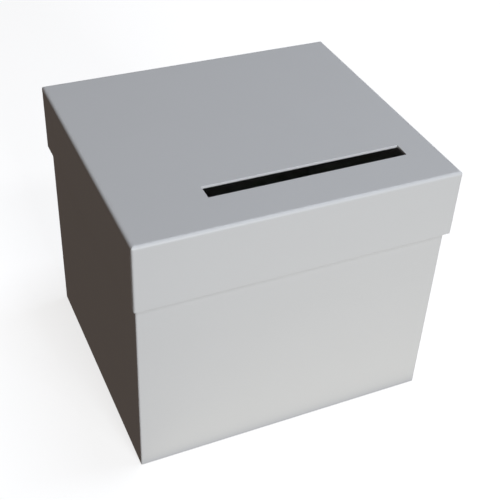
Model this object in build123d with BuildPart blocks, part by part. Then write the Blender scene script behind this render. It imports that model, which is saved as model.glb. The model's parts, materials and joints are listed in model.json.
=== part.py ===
"""A card box: a deep base and a lift-off lid, both of greyboard covered in paper.

Envelopes go in through a slot in the lid, and come out when the lid is lifted off.
Millimetres, +Z up. The origin is the centre of the underside, and the slot is nearer the front, -Y.
"""

import os

from build123d import *

# Overall sizes, over the covering paper
lid_width = 300.0
lid_depth = 268.0
box_height = 260.0  # from the underside to the top of the lid
rim_depth = 66.0  # how far the lid's sides reach down from its top

# Thicknesses
board = 2.0  # greyboard of every wall
paper = 0.25  # covering paper
lining = 0.2  # lining paper, inside
tape = 0.15  # kraft tape of the corner stays

# Play between the base and the lid, on each side
side_play = 0.7
front_play = 3.3

# The slot, at its finished size
slot_length = 188.0
slot_width = 16.0
slot_right_margin = 32.0  # from the lid's right side to the slot's end
slot_front_margin = 42.0  # from the lid's front to the slot's front edge

# Roundings of the covering paper. The boards below it are rounded to suit.
lid_edge_radius = 3.0  # round the lid's top
lid_corner_radius = 2.0  # round the lid's upright corners
base_corner_radius = 1.5  # round the base's upright corners
fold_radius = 0.4  # over a cut edge of board, which stays square

# Widths of the paper that is turned in out of sight, and of the tape
ceiling_flap = 12.0  # lid's covering paper, on to the ceiling of the lid
rim_flap = 20.0  # base's covering paper, down inside the walls
under_flap = 18.0  # base's covering paper, under the floor
floor_flap = 10.0  # wall lining, on to the floor
lid_stay_leg = 14.0
base_stay_leg = 20.0

# Margins that a sheet keeps from the edge it lies beside
ceiling_lining_margin = 1.0
slot_lining_margin = 1.0
floor_lining_margin = 0.5
wall_lining_margin = 3.0
underside_margin = 2.0

# Levels and sizes that follow
slot_centre = (
    lid_width / 2 - slot_right_margin - slot_length / 2,
    -lid_depth / 2 + slot_front_margin + slot_width / 2,
)
slot_flap = slot_width / 2 - board - paper  # half the slot's paper, less what lines its edge

rim_bottom = box_height - rim_depth
top_board_under = box_height - paper - board
edge_rounding_start = box_height - lid_edge_radius
ceiling_paper_under = top_board_under - paper
ceiling = ceiling_paper_under - lining

lid_board_width = lid_width - 2 * paper
lid_board_depth = lid_depth - 2 * paper
lid_inner_width = lid_board_width - 2 * (board + paper)
lid_inner_depth = lid_board_depth - 2 * (board + paper)

base_width = lid_inner_width - 2 * side_play
base_depth = lid_inner_depth - 2 * front_play
base_top = ceiling  # the lid rests here
base_board_width = base_width - 2 * paper
base_board_depth = base_depth - 2 * paper
base_inner_width = base_board_width - 2 * board
base_inner_depth = base_board_depth - 2 * board

wrap_bottom = paper  # the underside sheet is below it
floor_under = wrap_bottom + paper
floor_top = floor_under + board
floor_flap_top = floor_top + lining

sides = {"front": (0, -1), "back": (0, 1), "left": (-1, 0), "right": (1, 0)}
corners = {
    "front_left": (-1, -1),
    "front_right": (1, -1),
    "back_left": (-1, 1),
    "back_right": (1, 1),
}


def save(shape, name):
    """Labels a finished piece and writes it to its own STEP file."""
    shape.label = name
    export_step(shape, f"parts/{name}.step")


def corner_align(x_side, y_side):
    """Aligns a rectangle so that its outer corner lies on the corner it belongs to."""
    return (
        Align.MAX if x_side > 0 else Align.MIN,
        Align.MAX if y_side > 0 else Align.MIN,
    )


def make_form(width, depth, bottom, top, corner_radius, edge_radius=0.0):
    """A block with rounded upright corners and, if a radius is given, a rounded top edge."""
    with BuildPart() as form:
        with BuildSketch(Plane.XY.offset(bottom)):
            Rectangle(width, depth)
        extrude(amount=top - bottom)
        if edge_radius:
            fillet(form.faces().sort_by(Axis.Z)[-1].edges(), edge_radius)
        with BuildSketch(Plane.XY.offset(bottom)):
            RectangleRounded(width, depth, corner_radius)
        extrude(amount=top - bottom, mode=Mode.INTERSECT)
    return form.part


def make_corner_stay(corner, width, depth, radius, leg, bottom, top):
    """Tape folded round one upright corner of a board shell, pressed flush with its faces."""
    x_side, y_side = corners[corner]
    align = corner_align(x_side, y_side)
    with BuildPart() as stay:
        with BuildSketch(Plane.XY.offset(bottom)):
            RectangleRounded(width, depth, radius)
            RectangleRounded(
                width - 2 * tape, depth - 2 * tape, radius - tape, mode=Mode.SUBTRACT
            )
            with Locations((x_side * width / 2, y_side * depth / 2)):
                Rectangle(leg, leg, align=align, mode=Mode.INTERSECT)
        extrude(amount=top - bottom)
    return stay.part


def make_wall(side, width, depth, bottom, top, form, stays):
    """One wall of a board shell. The front and back run its whole width, the others fit between."""
    x_side, y_side = sides[side]
    with BuildPart() as wall:
        with BuildSketch(Plane.XY.offset(bottom)):
            with Locations((x_side * (width - board) / 2, y_side * (depth - board) / 2)):
                if y_side:
                    Rectangle(width, board)
                else:
                    Rectangle(board, depth - 2 * board)
        extrude(amount=top - bottom)
        add(form, mode=Mode.INTERSECT)
        add(stays, mode=Mode.SUBTRACT)
    return wall.part


os.makedirs("parts", exist_ok=True)

# Base: boards and corner stays

base_walls_top = base_top - paper
base_board_radius = base_corner_radius - paper
base_form = make_form(
    base_board_width, base_board_depth, floor_under, base_walls_top, base_board_radius
)

base_stays = {}
for corner in corners:
    base_stays[corner] = make_corner_stay(
        corner,
        base_board_width,
        base_board_depth,
        base_board_radius,
        base_stay_leg,
        floor_under,
        base_walls_top,
    )
    save(base_stays[corner], f"base_corner_stay_{corner}")

base_walls = {}
for side in sides:
    base_walls[side] = make_wall(
        side,
        base_board_width,
        base_board_depth,
        floor_under,
        base_walls_top,
        base_form,
        base_stays.values(),
    )
    save(base_walls[side], f"base_{side}_board")

with BuildPart() as base_floor_board:
    with BuildSketch(Plane.XY.offset(floor_under)):
        Rectangle(base_inner_width, base_inner_depth)
    extrude(amount=board)
save(base_floor_board.part, "base_floor_board")

# Base: covering paper, turned in over the rim and turned under the floor

with BuildPart() as base_wrap:
    add(make_form(base_width, base_depth, wrap_bottom, base_top, base_corner_radius))
    fillet(base_wrap.faces().sort_by(Axis.Z)[-1].edges(), fold_radius)
    fillet(base_wrap.faces().sort_by(Axis.Z)[0].edges(), fold_radius)
    # The space inside the walls, down to the end of the paper turned in over the rim
    with BuildSketch(Plane.XY.offset(base_top - rim_flap)):
        Rectangle(base_inner_width - 2 * paper, base_inner_depth - 2 * paper)
    extrude(amount=rim_flap, mode=Mode.SUBTRACT)
    with BuildSketch(Plane.XY.offset(floor_under)):
        Rectangle(base_inner_width, base_inner_depth)
    extrude(amount=base_top - rim_flap - floor_under, mode=Mode.SUBTRACT)
    with BuildSketch(Plane.XY.offset(wrap_bottom)):
        Rectangle(base_width - 2 * under_flap, base_depth - 2 * under_flap)
    extrude(amount=paper, mode=Mode.SUBTRACT)
    add([*base_walls.values(), *base_stays.values()], mode=Mode.SUBTRACT)
save(base_wrap.part, "base_wrap")

with BuildPart() as base_underside_paper:
    with BuildSketch():
        Rectangle(base_width - 2 * underside_margin, base_depth - 2 * underside_margin)
    extrude(amount=paper)
save(base_underside_paper.part, "base_underside_paper")

# Base: lining, which covers the ends of the paper turned in over the rim

lining_outer_width = base_inner_width - 2 * paper
lining_outer_depth = base_inner_depth - 2 * paper
lining_inner_width = lining_outer_width - 2 * lining
lining_inner_depth = lining_outer_depth - 2 * lining

with BuildPart() as base_wall_lining:
    with BuildSketch(Plane.XY.offset(floor_top)):
        Rectangle(lining_outer_width, lining_outer_depth)
        Rectangle(
            lining_inner_width - 2 * floor_flap,
            lining_inner_depth - 2 * floor_flap,
            mode=Mode.SUBTRACT,
        )
    extrude(amount=lining)
    with BuildSketch(Plane.XY.offset(floor_top)):
        Rectangle(lining_outer_width, lining_outer_depth)
        Rectangle(lining_inner_width, lining_inner_depth, mode=Mode.SUBTRACT)
    extrude(amount=base_top - wall_lining_margin - floor_top)
save(base_wall_lining.part, "base_wall_lining")

with BuildPart() as base_floor_lining:
    with BuildSketch(Plane.XY.offset(floor_flap_top)):
        Rectangle(
            lining_inner_width - 2 * floor_lining_margin,
            lining_inner_depth - 2 * floor_lining_margin,
        )
    extrude(amount=lining)
save(base_floor_lining.part, "base_floor_lining")

# Lid: boards and corner stays

lid_walls_bottom = rim_bottom + paper
lid_board_radius = lid_corner_radius - paper
lid_form = make_form(
    lid_board_width,
    lid_board_depth,
    lid_walls_bottom,
    box_height - paper,
    lid_board_radius,
    lid_edge_radius - paper,
)

lid_stays = {}
for corner in corners:
    lid_stays[corner] = make_corner_stay(
        corner,
        lid_board_width,
        lid_board_depth,
        lid_board_radius,
        lid_stay_leg,
        lid_walls_bottom,
        edge_rounding_start,
    )
    save(lid_stays[corner], f"lid_corner_stay_{corner}")

lid_walls = {}
for side in sides:
    lid_walls[side] = make_wall(
        side,
        lid_board_width,
        lid_board_depth,
        lid_walls_bottom,
        top_board_under,
        lid_form,
        lid_stays.values(),
    )
    save(lid_walls[side], f"lid_{side}_board")

with BuildPart() as lid_top_board:
    with BuildSketch(Plane.XY.offset(top_board_under)):
        Rectangle(lid_board_width, lid_board_depth)
    extrude(amount=board)
    add(lid_form, mode=Mode.INTERSECT)
    with BuildSketch(Plane.XY.offset(top_board_under)):
        with Locations(slot_centre):
            Rectangle(slot_length + 2 * paper, slot_width + 2 * paper)
    extrude(amount=board, mode=Mode.SUBTRACT)
save(lid_top_board.part, "lid_top_board")

# Lid: covering paper, turned in round the rim on to the ceiling, and turned down through the slot

with BuildPart() as lid_wrap:
    add(
        make_form(
            lid_width, lid_depth, rim_bottom, box_height, lid_corner_radius, lid_edge_radius
        )
    )
    fillet(lid_wrap.faces().sort_by(Axis.Z)[0].edges(), fold_radius)
    with BuildSketch(Plane.XY.offset(rim_bottom)):
        Rectangle(lid_inner_width, lid_inner_depth)
    extrude(amount=ceiling_paper_under - rim_bottom, mode=Mode.SUBTRACT)
    # The ceiling that neither the rim's flap nor the slot's flap covers
    with BuildSketch(Plane.XY.offset(ceiling_paper_under)):
        Rectangle(lid_inner_width - 2 * ceiling_flap, lid_inner_depth - 2 * ceiling_flap)
        with Locations(slot_centre):
            Rectangle(
                slot_length + 2 * (paper + slot_flap),
                slot_width + 2 * (paper + slot_flap),
                mode=Mode.SUBTRACT,
            )
    extrude(amount=paper, mode=Mode.SUBTRACT)
    with BuildSketch(Plane.XY.offset(ceiling_paper_under)):
        with Locations(slot_centre):
            Rectangle(slot_length, slot_width)
    extrude(amount=box_height - ceiling_paper_under, mode=Mode.SUBTRACT)
    add([lid_top_board.part, *lid_walls.values(), *lid_stays.values()], mode=Mode.SUBTRACT)
save(lid_wrap.part, "lid_wrap")

with BuildPart() as lid_ceiling_lining:
    with BuildSketch(Plane.XY.offset(ceiling)):
        Rectangle(
            lid_inner_width - 2 * ceiling_lining_margin,
            lid_inner_depth - 2 * ceiling_lining_margin,
        )
        with Locations(slot_centre):
            Rectangle(
                slot_length + 2 * slot_lining_margin,
                slot_width + 2 * slot_lining_margin,
                mode=Mode.SUBTRACT,
            )
    extrude(amount=lining)
save(lid_ceiling_lining.part, "lid_ceiling_lining")
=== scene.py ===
"""The looks of a paper-covered card box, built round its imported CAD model. Metres, +Z up.

The covering papers of the base and the lid are modelled here as folded sheets, with their rounded
folds, corner ears and overlap. Boards, tape and lining papers are the CAD's own, with materials.
"""

import json
import math

import bpy
from mathutils import Matrix, Vector


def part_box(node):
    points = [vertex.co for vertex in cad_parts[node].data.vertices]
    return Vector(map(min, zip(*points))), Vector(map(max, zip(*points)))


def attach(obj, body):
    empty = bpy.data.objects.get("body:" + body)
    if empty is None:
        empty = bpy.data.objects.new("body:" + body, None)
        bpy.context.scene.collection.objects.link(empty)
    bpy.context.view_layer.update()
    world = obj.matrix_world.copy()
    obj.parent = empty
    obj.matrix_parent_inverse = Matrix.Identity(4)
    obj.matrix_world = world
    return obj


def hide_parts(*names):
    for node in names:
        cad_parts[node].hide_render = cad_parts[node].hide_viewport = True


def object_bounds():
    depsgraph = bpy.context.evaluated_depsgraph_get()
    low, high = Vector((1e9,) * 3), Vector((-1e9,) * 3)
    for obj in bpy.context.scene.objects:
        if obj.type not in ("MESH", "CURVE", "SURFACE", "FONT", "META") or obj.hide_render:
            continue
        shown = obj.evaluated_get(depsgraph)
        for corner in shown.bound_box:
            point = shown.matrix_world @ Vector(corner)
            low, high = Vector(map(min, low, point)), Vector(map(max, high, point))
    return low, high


MM = 0.001

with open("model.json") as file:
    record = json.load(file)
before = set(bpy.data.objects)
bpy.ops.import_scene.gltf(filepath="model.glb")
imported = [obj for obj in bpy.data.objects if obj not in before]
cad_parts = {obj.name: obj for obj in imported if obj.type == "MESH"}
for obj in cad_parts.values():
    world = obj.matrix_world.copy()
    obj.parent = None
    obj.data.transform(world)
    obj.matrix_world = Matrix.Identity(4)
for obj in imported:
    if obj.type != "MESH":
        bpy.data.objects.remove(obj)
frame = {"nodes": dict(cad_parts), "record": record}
cad_low, cad_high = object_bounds()
scene = bpy.context.scene


# Levels and sizes that the CAD gives

lid_low, lid_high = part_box("lid_wrap")
lid_board_low, lid_board_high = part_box("lid_top_board")
lid_wall_low, lid_wall_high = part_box("lid_right_board")
base_low, base_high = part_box("base_wrap")
base_lining_low, base_lining_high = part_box("base_wall_lining")

PAPER = lid_high.z - lid_board_high.z
BOARD = lid_board_high.z - lid_board_low.z
LID_WALL = lid_high.x - lid_wall_low.x + PAPER
BASE_WALL = base_high.x - base_lining_high.x


def slot_edges():
    """The finished slot: its centre, and half its length and width inside the covering paper."""
    inner_x, inner_y = lid_board_high.x - 2 * BOARD, lid_board_high.y - 2 * BOARD
    rim = [
        vertex.co for vertex in frame["nodes"]["lid_top_board"].data.vertices
        if abs(vertex.co.x) < inner_x and abs(vertex.co.y) < inner_y
    ]
    low = Vector((min(co.x for co in rim), min(co.y for co in rim)))
    high = Vector((max(co.x for co in rim), max(co.y for co in rim)))
    return (low + high) / 2, (high - low) / 2 - Vector((PAPER, PAPER))


slot_centre, slot_half = slot_edges()


# Folds, corners and overlaps of the covering papers

TOP_RADIUS = 3 * MM  # round the lid's top
LID_CORNER = 2 * MM  # the upright corners
BASE_CORNER = 1.5 * MM
INNER_CORNER = 0.3 * MM  # upright corners seen from inside, and the least rounding of a mitre
FOLD_RADIUS = 0.4 * MM
CEILING_FOLD = 0.3 * MM
SLOT_FOLD = 0.35 * MM
CEILING_FLAP = 12 * MM
SLOT_FLAP = 5.75 * MM
RIM_FLAP = 20 * MM
UNDER_FLAP = 18 * MM

LAYER = 0.12 * MM  # how much one sheet lying on another stands proud
LAYER_EDGE = 0.1 * MM  # width of the step down from its cut edge
LAYER_FADE = 1.5 * MM  # width of the slope where the sheet below it ends
EAR_MARGIN = 2.9 * MM  # strip of ear left showing beside an upright corner of the lid
EAR_WIDTH = 15 * MM
EAR_START = 7 * MM  # below the lid's top
LAP_EDGE = 9 * MM  # from the base's back left corner to the cut edge of its overlap
LAP_WIDTH = 14 * MM

# Fineness of the meshes

GRID_STEP = 12 * MM
SUPPORT = 0.3 * MM  # a row of points this far from a fold keeps the flat beside it flat
ARC_STEPS = 6
SHARP_ANGLE = math.radians(32)
CORNER_CUT = 1 - math.sqrt(0.5)  # share of its radius by which a rounded corner is cut back
EAR_ROWS = 8  # rows between the start of an ear and the rounding of the lid's top


def smooth(value, low, high):
    """0 up to low, 1 from high, and an even rise between."""
    share = min(1.0, max(0.0, (value - low) / (high - low)))
    return share * share * (3 - 2 * share)


def filled(marks, step):
    """The marks in order, with even steps of about that size added between them."""
    marks = sorted(set(marks))
    values = [marks[0]]
    for low, high in zip(marks, marks[1:]):
        count = max(1, round((high - low) / step))
        values += [low + (high - low) * i / count for i in range(1, count)] + [high]
    return values


def mirrored(values):
    """The same places, counted from the other end of the side."""
    return [-value for value in reversed(values)]


def arc(inset, z, radius, start, end):
    """A fold in section, round a centre that lies that far in from the outer face, as (inset, z,
    fold) from angle start to end. 0 degrees points out of the wall, and 90 points up."""
    angles = [math.radians(start + (end - start) * i / ARC_STEPS) for i in range(ARC_STEPS + 1)]
    return [(inset - radius * math.cos(a), z + radius * math.sin(a), 1.0) for a in angles]


def flat(inset, *levels):
    """Rows of points up or down a wall, as (inset, z, fold)."""
    return [(inset, z, 0.0) for z in levels]


def level(side, point, z):
    """No relief."""
    return 0.0


class Sheet:
    """A folded sheet of paper, as its visible side. Its rows of points run round rectangles."""

    def __init__(self):
        self.points, self.folds, self.faces = [], [], []

    def add(self, x, y, z, fold=0.0):
        self.points.append((x, y, z))
        self.folds.append(fold)
        return len(self.points) - 1

    def row(self, half, z, corner, along_x, along_y, centre, relief, fold):
        """One row round a rectangle with rounded corners, anticlockwise from its front left.
        along_x and along_y are the places of its points on a side, from -1 to 1. relief(side,
        point, z) is how far each point lies in from the rectangle."""
        sides = (
            ("front", Vector((1, 0)), Vector((0, -1)), half[0], half[1], along_x),
            ("right", Vector((0, 1)), Vector((1, 0)), half[1], half[0], along_y),
            ("back", Vector((-1, 0)), Vector((0, 1)), half[0], half[1], mirrored(along_x)),
            ("left", Vector((0, -1)), Vector((-1, 0)), half[1], half[0], mirrored(along_y)),
        )
        middle = Vector(centre)
        made = []
        for index, (side, along, out, length, across, places) in enumerate(sides):
            straight = length - corner
            for place in places:
                point = middle + along * (place * straight) + out * across
                point -= out * relief(side, point, z)
                made.append(self.add(point.x, point.y, z, fold))
            turn = middle + along * straight + out * (across - corner)
            next_side = sides[(index + 1) % 4][0]
            for i in range(1, ARC_STEPS):
                angle = math.pi / 2 * i / ARC_STEPS
                direction = out * math.cos(angle) + along * math.sin(angle)
                point = turn + direction * corner
                depth = (
                    relief(side, point, z) * math.cos(angle) ** 2
                    + relief(next_side, point, z) * math.sin(angle) ** 2
                )
                point -= direction * depth
                made.append(self.add(point.x, point.y, z, max(fold, 0.5)))
        return made

    def band(self, first, second):
        """Joins two rows. A point that is repeated in one of them makes a triangle."""
        count = len(first)
        for i in range(count):
            j = (i + 1) % count
            corners = dict.fromkeys((first[i], first[j], second[j], second[i]))
            self.faces.append(list(corners))

    def sweep(self, section, half, corner, along_x, along_y, centre=(0, 0), relief=level):
        """Rows for each (inset, z, fold) of a section, joined up. corner(inset, z) is the radius of
        their corners. The relief is on the outer face and its folds."""
        rows = [
            self.row(
                (half[0] - inset, half[1] - inset), z, corner(inset, z), along_x, along_y, centre,
                relief if inset <= FOLD_RADIUS else level, fold,
            )
            for inset, z, fold in section
        ]
        for first, second in zip(rows, rows[1:]):
            self.band(first, second)
        return rows

    def panel(self, xs, ys, z, hole_x, hole_y):
        """A flat grid of points with a rectangular hole, where hole_x and hole_y are the places
        in xs and ys of its two edges. Returns its outer row and the hole's row."""
        grid = [[self.add(x, y, z) for x in xs] for y in ys]
        for j in range(len(ys) - 1):
            for i in range(len(xs) - 1):
                in_hole = hole_x[0] <= i < hole_x[1] and hole_y[0] <= j < hole_y[1]
                if not in_hole:
                    self.faces.append(
                        [grid[j][i], grid[j][i + 1], grid[j + 1][i + 1], grid[j + 1][i]]
                    )
        whole = around(grid, (0, len(xs) - 1), (0, len(ys) - 1))
        return whole, around(grid, hole_x, hole_y)


def around(grid, columns, rows):
    """The points of a grid round a rectangle, in the order of Sheet.row, with each corner's point
    repeated as often as a rounded corner has points."""
    left, right = columns
    front, back = rows
    corner_points = ARC_STEPS - 1
    sides = (
        [grid[front][i] for i in range(left, right + 1)],
        [grid[j][right] for j in range(front, back + 1)],
        [grid[back][i] for i in range(right, left - 1, -1)],
        [grid[j][left] for j in range(back, front - 1, -1)],
    )
    return [point for side in sides for point in side + [side[-1]] * corner_points]


def make_piece(name, sheet, body, node):
    """A sheet as an object: given its thickness, shaded smooth between its folds and cut edges."""
    mesh = bpy.data.meshes.new(name)
    mesh.from_pydata(sheet.points, [], sheet.faces)
    folds = mesh.attributes.new("fold", "FLOAT", "POINT")
    folds.data.foreach_set("value", sheet.folds)
    piece = bpy.data.objects.new(name, mesh)
    scene.collection.objects.link(piece)
    thickness = piece.modifiers.new("thickness", "SOLIDIFY")
    thickness.thickness = PAPER
    thickness.offset = -1
    thickness.use_even_offset = True
    thickness.use_quality_normals = True
    thickness.thickness_clamp = 1
    evaluated = piece.evaluated_get(bpy.context.evaluated_depsgraph_get())
    solid = bpy.data.meshes.new_from_object(evaluated)
    solid.name = name
    piece.modifiers.clear()
    piece.data = solid
    bpy.data.meshes.remove(mesh)
    solid.shade_smooth()
    solid.set_sharp_from_angle(angle=SHARP_ANGLE)
    normals = piece.modifiers.new("flat_faces", "WEIGHTED_NORMAL")
    normals.keep_sharp = True
    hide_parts(node)
    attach(piece, body)
    return piece


# Lid: one sheet over the top and sides, in round the rim, and down through the slot

lid_half = Vector((lid_high.x, lid_high.y))


def lid_relief(side, point, z):
    """How far the lid's paper lies below its top layer. On the left and right the flap lies over
    the ears of the front and back, which show as a strip beside each upright corner."""
    if side in ("front", "back"):
        return 0.0
    from_corner = lid_half.y - abs(point.y)
    beside = 1 - smooth(from_corner, EAR_MARGIN, EAR_MARGIN + LAYER_EDGE)
    beyond = smooth(from_corner, EAR_WIDTH, EAR_WIDTH + LAYER_FADE)
    below_top = smooth(lid_high.z - z, TOP_RADIUS, EAR_START)
    return LAYER * (beside + beyond) * below_top


def make_lid_cover():
    sheet = Sheet()
    top, rim = lid_high.z, lid_low.z
    ceiling = lid_board_low.z - PAPER

    # The top panel, inside the rounding of its edges
    panel_inset = TOP_RADIUS + SUPPORT
    panel_half = lid_half - Vector((1, 1)) * (panel_inset + SUPPORT)
    hole_half = slot_half + Vector((1, 1)) * (SLOT_FOLD + SUPPORT)
    ear_marks = (
        EAR_MARGIN, EAR_MARGIN + LAYER_EDGE,
        EAR_WIDTH, EAR_WIDTH + LAYER_FADE / 2, EAR_WIDTH + LAYER_FADE,
    )
    wall_y = lid_half.y - LID_CORNER
    from_middle = [(lid_half.y - mark) / wall_y for mark in ear_marks]
    hole_x = [(slot_centre.x + sign * hole_half.x) / panel_half.x for sign in (-1, 1)]
    hole_y = [(slot_centre.y + sign * hole_half.y) / panel_half.y for sign in (-1, 1)]
    along_x = filled([-1, 1, *hole_x], GRID_STEP / lid_half.x)
    along_y = filled([-1, 1, *hole_y, *from_middle, *mirrored(from_middle)], GRID_STEP / lid_half.y)

    section = [
        *flat(LID_WALL + CEILING_FLAP, ceiling),
        *arc(LID_WALL + CEILING_FOLD, ceiling - CEILING_FOLD, CEILING_FOLD, 90, 0),
        *flat(LID_WALL, ceiling - CEILING_FOLD - SUPPORT, (ceiling + rim) / 2),
        *flat(LID_WALL, rim + FOLD_RADIUS + SUPPORT),
        *arc(LID_WALL - FOLD_RADIUS, rim + FOLD_RADIUS, FOLD_RADIUS, 180, 270),
        *arc(FOLD_RADIUS, rim + FOLD_RADIUS, FOLD_RADIUS, 270, 360),
        *flat(0, *filled([rim + FOLD_RADIUS + SUPPORT, top - EAR_START - SUPPORT], GRID_STEP)),
        *flat(0, *filled([top - EAR_START, top - TOP_RADIUS - SUPPORT], EAR_START / EAR_ROWS)),
        *arc(TOP_RADIUS, top - TOP_RADIUS, TOP_RADIUS, 0, 90),
        *flat(panel_inset, top),
    ]

    def corner(inset, z):
        """An upright corner runs up unchanged until the top's rounding cuts it away to a mitre."""
        if z > top - TOP_RADIUS:
            return max(INNER_CORNER, LID_CORNER - inset / CORNER_CUT)
        return LID_CORNER if inset <= FOLD_RADIUS else INNER_CORNER

    rows = sheet.sweep(section, lid_half, corner, along_x, along_y, relief=lid_relief)

    xs = [place * panel_half.x for place in along_x]
    ys = [place * panel_half.y for place in along_y]
    columns = [along_x.index(place) for place in hole_x]
    lines = [along_y.index(place) for place in hole_y]
    outside, hole = sheet.panel(xs, ys, top, columns, lines)
    sheet.band(rows[-1], outside)

    # The slot: rounded at both edges of the board, and turned out under it
    slot_x = [(x - slot_centre.x) / hole_half.x for x in xs[columns[0]:columns[1] + 1]]
    slot_y = [(y - slot_centre.y) / hole_half.y for y in ys[lines[0]:lines[1] + 1]]
    slot_section = [
        *arc(-SLOT_FOLD, top - SLOT_FOLD, SLOT_FOLD, 90, 180),
        *arc(-SLOT_FOLD, ceiling + SLOT_FOLD, SLOT_FOLD, 180, 270),
        *flat(-SLOT_FOLD - SUPPORT, ceiling),
        *flat(-SLOT_FLAP, ceiling),
    ]
    slot_rows = sheet.sweep(
        slot_section, slot_half, lambda inset, z: SLOT_FOLD - inset, slot_x, slot_y, slot_centre
    )
    sheet.band(hole, slot_rows[0])
    return make_piece("lid_cover", sheet, "lid", "lid_wrap")


# Base: one strip round the sides that ends in an overlap at the back, in over the rim and under

base_half = Vector((base_high.x, base_high.y))


def base_relief(side, point, z):
    """How far the base's paper lies below its overlap."""
    if side != "back":
        return 0.0
    from_corner = point.x + base_half.x
    on_overlap = smooth(from_corner, LAP_EDGE - LAYER_EDGE, LAP_EDGE)
    past_overlap = smooth(from_corner, LAP_EDGE + LAP_WIDTH, LAP_EDGE + LAP_WIDTH + LAYER_FADE)
    return LAYER * (1 - on_overlap + past_overlap)


def make_base_cover():
    sheet = Sheet()
    top, bottom = base_high.z, base_low.z
    lap_end = LAP_EDGE + LAP_WIDTH
    lap_marks = (
        LAP_EDGE - LAYER_EDGE, LAP_EDGE, lap_end, lap_end + LAYER_FADE / 2, lap_end + LAYER_FADE,
    )
    wall_x = base_half.x - BASE_CORNER
    marks = [(mark - base_half.x) / wall_x for mark in lap_marks]
    section = [
        *flat(UNDER_FLAP, bottom),
        *arc(FOLD_RADIUS, bottom + FOLD_RADIUS, FOLD_RADIUS, 270, 360),
        *flat(0, *filled([bottom + FOLD_RADIUS + SUPPORT, top - FOLD_RADIUS - SUPPORT], GRID_STEP)),
        *arc(FOLD_RADIUS, top - FOLD_RADIUS, FOLD_RADIUS, 0, 90),
        *arc(BASE_WALL - FOLD_RADIUS, top - FOLD_RADIUS, FOLD_RADIUS, 90, 180),
        *flat(BASE_WALL, top - FOLD_RADIUS - SUPPORT, top - RIM_FLAP),
    ]

    def corner(inset, z):
        return INNER_CORNER if inset > FOLD_RADIUS and z > bottom + FOLD_RADIUS else BASE_CORNER

    along_x = filled([-1, 1, *marks], GRID_STEP / base_half.x)
    along_y = filled([-1, 1], GRID_STEP / base_half.y)
    sheet.sweep(section, base_half, corner, along_x, along_y, relief=base_relief)
    return make_piece("base_cover", sheet, "base", "base_wrap")


# Materials

class Look:
    """One procedural material, with its noise placed in the object's own metres."""

    def __init__(self, name, specular=0.5):
        self.material = bpy.data.materials.new(name)
        self.material.use_nodes = True
        self.nodes = self.material.node_tree.nodes
        self.link = self.material.node_tree.links.new
        self.shader = self.nodes["Principled BSDF"]
        self.shader.inputs["Specular IOR Level"].default_value = specular
        self.place = self.nodes.new("ShaderNodeTexCoord").outputs["Object"]

    def noise(self, grain, detail=2.0, stretch=(1, 1, 1)):
        """Noise whose grains are about that many metres across, longer where stretch is more."""
        mapping = self.nodes.new("ShaderNodeMapping")
        mapping.inputs["Scale"].default_value = [1 / share for share in stretch]
        texture = self.nodes.new("ShaderNodeTexNoise")
        texture.inputs["Scale"].default_value = 1 / grain
        texture.inputs["Detail"].default_value = detail
        self.link(self.place, mapping.inputs["Vector"])
        self.link(mapping.outputs["Vector"], texture.inputs["Vector"])
        return texture.outputs["Fac"]

    def fold(self):
        """1 on the folds of a covering paper and 0 on its flats."""
        attribute = self.nodes.new("ShaderNodeAttribute")
        attribute.attribute_name = "fold"
        return attribute.outputs["Fac"]

    def ranged(self, value, low, high, start=0.25, end=0.75):
        """Turns a value between start and end into one between low and high."""
        node = self.nodes.new("ShaderNodeMapRange")
        node.inputs["From Min"].default_value = start
        node.inputs["From Max"].default_value = end
        node.inputs["To Min"].default_value = low
        node.inputs["To Max"].default_value = high
        self.link(value, node.inputs["Value"])
        return node.outputs["Result"]

    def mixed(self, share, first, second):
        """A colour between two. Each is a colour, or a socket that gives one."""
        node = self.nodes.new("ShaderNodeMix")
        node.data_type = "RGBA"
        self.link(share, node.inputs["Factor"])
        for name, colour in (("A", first), ("B", second)):
            socket = next(s for s in node.inputs if s.name == name and s.type == "RGBA")
            if isinstance(colour, tuple):
                socket.default_value = (*colour, 1)
            else:
                self.link(colour, socket)
        return next(s for s in node.outputs if s.type == "RGBA")

    def total(self, first, second):
        node = self.nodes.new("ShaderNodeMath")
        node.operation = "ADD"
        self.link(first, node.inputs[0])
        self.link(second, node.inputs[1])
        return node.outputs["Value"]

    def bumps(self, *layers):
        """Bump from (height, how many metres its full range stands)."""
        normal = None
        for height, distance in layers:
            node = self.nodes.new("ShaderNodeBump")
            node.inputs["Distance"].default_value = distance
            self.link(height, node.inputs["Height"])
            if normal:
                self.link(normal, node.inputs["Normal"])
            normal = node.outputs["Normal"]
        self.link(normal, self.shader.inputs["Normal"])

    def finish(self, colour, roughness):
        self.link(colour, self.shader.inputs["Base Color"])
        self.link(roughness, self.shader.inputs["Roughness"])
        return self.material


def tinted(colour, share):
    """A colour made that much lighter, or darker where share is under 1."""
    return tuple(channel * share for channel in colour)


def cover_paper():
    """Smooth satin-coated white paper, glued down. Its folds are smoother, and painted a little lighter
    as wear and as a painted highlight.
    """
    white = (0.80, 0.80, 0.80)
    look = Look("cover_paper", specular=0.4)
    clouds = look.ranged(look.noise(60 * MM), 0, 1)
    fibres = look.ranged(look.noise(1.1 * MM, 3), 0, 1)
    tooth = look.noise(0.3 * MM, 3)
    glue = look.noise(28 * MM, 1)
    mottled = look.mixed(clouds, tinted(white, 0.993), tinted(white, 1.007))
    flecked = look.mixed(look.ranged(fibres, 0, 0.5, 0, 1), mottled, tinted(white, 0.975))
    # Painted highlight: the folds are painted 2% lighter, partly as wear of the stretched paper and
    # partly as a painted highlight along the edges
    worn_and_highlit = look.mixed(look.ranged(look.fold(), 0, 0.5, 0, 1), flecked, tinted(white, 1.02))
    roughness = look.total(
        look.ranged(fibres, 0.44, 0.5, 0, 1), look.ranged(look.fold(), 0, -0.06, 0, 1)
    )
    look.bumps((tooth, 0.012 * MM), (glue, 0.05 * MM))
    return look.finish(worn_and_highlit, roughness)


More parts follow.
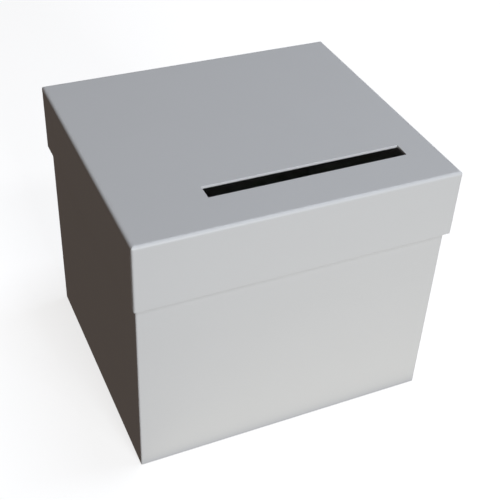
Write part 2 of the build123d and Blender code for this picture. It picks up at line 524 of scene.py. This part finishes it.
def lining_paper():
    """Uncoated white paper: matt, with visible fibres."""
    white = (0.76, 0.755, 0.74)
    look = Look("lining_paper", specular=0.3)
    clouds = look.ranged(look.noise(35 * MM), 0, 1)
    fibres = look.ranged(look.noise(0.9 * MM, 4, stretch=(1, 1, 2.5)), 0, 1)
    mottled = look.mixed(clouds, tinted(white, 0.98), tinted(white, 1.015))
    fibrous = look.mixed(look.ranged(fibres, 0, 0.5, 0, 1), mottled, tinted(white, 0.93))
    look.bumps((look.noise(0.4 * MM, 4), 0.03 * MM), (look.noise(22 * MM, 1), 0.05 * MM))
    return look.finish(fibrous, look.ranged(fibres, 0.84, 0.95, 0, 1))


def greyboard():
    """Recycled board: grey-brown, with light and dark flecks of the paper it was made from."""
    grey = (0.42, 0.395, 0.36)
    look = Look("greyboard", specular=0.25)
    clouds = look.ranged(look.noise(14 * MM), 0, 1)
    dark_flecks = look.ranged(look.noise(1.3 * MM, 2, stretch=(2, 1, 1)), 0, 1, 0.62, 0.72)
    pale_flecks = look.ranged(look.noise(1.9 * MM, 2, stretch=(1, 2, 1)), 0, 1, 0.63, 0.72)
    mottled = look.mixed(clouds, tinted(grey, 0.9), tinted(grey, 1.1))
    darker = look.mixed(dark_flecks, mottled, tinted(grey, 0.5))
    flecked = look.mixed(pale_flecks, darker, tinted(grey, 1.55))
    fibres = look.noise(0.5 * MM, 4)
    look.bumps((fibres, 0.08 * MM))
    return look.finish(flecked, look.ranged(fibres, 0.88, 0.98))


def kraft_tape():
    """Brown gummed paper, with its fibres lying up and down the corner."""
    brown = (0.42, 0.27, 0.15)
    look = Look("kraft_tape", specular=0.35)
    fibres = look.ranged(look.noise(0.7 * MM, 4, stretch=(1, 1, 9)), 0, 1)
    clouds = look.ranged(look.noise(18 * MM), 0, 1)
    mottled = look.mixed(clouds, tinted(brown, 0.92), tinted(brown, 1.08))
    fibrous = look.mixed(fibres, mottled, tinted(brown, 0.72))
    look.bumps((look.noise(0.5 * MM, 4, stretch=(1, 1, 6)), 0.04 * MM))
    return look.finish(fibrous, look.ranged(fibres, 0.6, 0.78, 0, 1))


def plain_floor():
    """A pale studio floor that glows a little, so that the shadows on it stay light."""
    look = Look("plain_floor", specular=0.1)
    clouds = look.ranged(look.noise(400 * MM), 0, 1)
    look.shader.inputs["Emission Color"].default_value = (1, 1, 1, 1)
    look.shader.inputs["Emission Strength"].default_value = FLOOR_GLOW
    pale = look.mixed(clouds, tinted(FLOOR_COLOUR, 0.995), tinted(FLOOR_COLOUR, 1.005))
    return look.finish(pale, look.ranged(clouds, 0.9, 0.95, 0, 1))


# Stage: floor, lights and surroundings

FLOOR_HALF = 12.0
FLOOR_DROP = 0.1 * MM
FLOOR_COLOUR = (0.62, 0.62, 0.62)
FLOOR_GLOW = 0.75
SURROUNDINGS = (0.08, 0.065, 0.056)
BACKGROUND = (0.93, 0.93, 0.93)


def make_floor():
    corners = [(-1, -1), (1, -1), (1, 1), (-1, 1)]
    mesh = bpy.data.meshes.new("floor")
    mesh.from_pydata([(x * FLOOR_HALF, y * FLOOR_HALF, 0) for x, y in corners], [], [(0, 1, 2, 3)])
    floor = bpy.data.objects.new("floor", mesh)
    floor.location.z = cad_low.z - FLOOR_DROP
    floor.visible_diffuse = False
    floor.visible_glossy = False
    mesh.materials.append(plain_floor())
    scene.collection.objects.link(floor)


def soft_light(name, place, aim, size, power, colour):
    """A rectangular light, of that width and height, that faces a point. Cameras don't see it."""
    data = bpy.data.lights.new(name, "AREA")
    data.shape = "RECTANGLE"
    data.size, data.size_y = size
    data.energy = power
    data.color = colour
    light = bpy.data.objects.new(name, data)
    light.location = place
    light.rotation_euler = (Vector(aim) - Vector(place)).to_track_quat("-Z", "Y").to_euler()
    light.visible_camera = False
    scene.collection.objects.link(light)


def make_surroundings():
    """Dim warm light from all round. Beyond the floor the camera sees a pale tone instead."""
    world = bpy.data.worlds.new("surroundings")
    world.use_nodes = True
    nodes, link = world.node_tree.nodes, world.node_tree.links.new
    room = nodes["Background"]
    room.inputs["Color"].default_value = (*SURROUNDINGS, 1)
    backdrop = nodes.new("ShaderNodeBackground")
    backdrop.inputs["Color"].default_value = (*BACKGROUND, 1)
    choice = nodes.new("ShaderNodeMixShader")
    link(nodes.new("ShaderNodeLightPath").outputs["Is Camera Ray"], choice.inputs["Fac"])
    link(room.outputs["Background"], choice.inputs[1])
    link(backdrop.outputs["Background"], choice.inputs[2])
    link(choice.outputs["Shader"], nodes["World Output"].inputs["Surface"])
    scene.world = world


def light_stage():
    """Light for the photograph's look. The key lights the front from low down, the overhead light
    the top, and the reflector stands in for pale ground at the box's foot. The rim_shade light is
    high in front, so that the lid's rim throws a thin shadow on the base."""
    scene.view_settings.view_transform = "Standard"
    make_floor()
    make_surroundings()
    soft_light("key", (0.35, -5.8, 1.35), (0, 0, 0.2), (1.7, 1.05), 187, (0.9, 0.95, 1))
    soft_light("rim_shade", (0.2, -1.75, 2.4), (0, -0.1, 0.2), (0.8, 0.35), 9.5, (0.9, 0.95, 1))
    soft_light("reflector", (0.16, -0.385, 0.001), (0.16, -0.385, 1), (0.62, 0.5), 0.37, (1, 0.95, 0.8))
    soft_light("overhead", (0.7, 0, 2.4), (0.25, 0, 0), (0.8, 1.2), 16.8, (0.81, 0.89, 1))
    soft_light("back_fill", (1.5, 1.7, 0.26), (0, 0, 0.13), (2.4, 0.5), 5, (1, 1, 1))


# Camera

CAMERA_AZIMUTH = math.radians(25.89)  # the way it looks, turned from +Y towards +X
CAMERA_TILT = math.radians(38.11)  # below level
CAMERA_ROLL = math.radians(3.12)
CAMERA_DISTANCE = 0.951
CAMERA_RIGHT = 13.3 * MM  # how far its line of sight passes beside the middle of the box
CAMERA_UP = -8.6 * MM
LENS = 69.21
SENSOR = 36.0


def make_camera():
    data = bpy.data.cameras.new("camera")
    data.lens = LENS
    data.sensor_width = SENSOR
    heading = Vector((math.sin(CAMERA_AZIMUTH), math.cos(CAMERA_AZIMUTH), 0))
    ahead = heading * math.cos(CAMERA_TILT) - Vector((0, 0, math.sin(CAMERA_TILT)))
    right = Vector((math.cos(CAMERA_AZIMUTH), -math.sin(CAMERA_AZIMUTH), 0))
    up = right.cross(ahead)
    middle = (cad_low + cad_high) / 2
    place = middle - ahead * CAMERA_DISTANCE + right * CAMERA_RIGHT + up * CAMERA_UP
    turned_right = right * math.cos(CAMERA_ROLL) + up * math.sin(CAMERA_ROLL)
    turned_up = turned_right.cross(ahead)
    axes = Matrix((turned_right, turned_up, -ahead)).transposed()
    camera = bpy.data.objects.new("camera", data)
    camera.matrix_world = Matrix.Translation(place) @ axes.to_4x4()
    scene.collection.objects.link(camera)
    scene.camera = camera


def main():
    cover = cover_paper()
    for piece in (make_lid_cover(), make_base_cover()):
        piece.data.materials.append(cover)
    finishes = {
        "lining_paper": lining_paper(),
        "greyboard": greyboard(),
        "kraft_tape": kraft_tape(),
        "wrap_paper": cover,
    }
    for subpart in frame["record"]["subparts"]:
        node = frame["nodes"][subpart["node"]]
        node.material_slots[0].material = finishes[subpart["material_slot"]]
    light_stage()
    make_camera()


main()
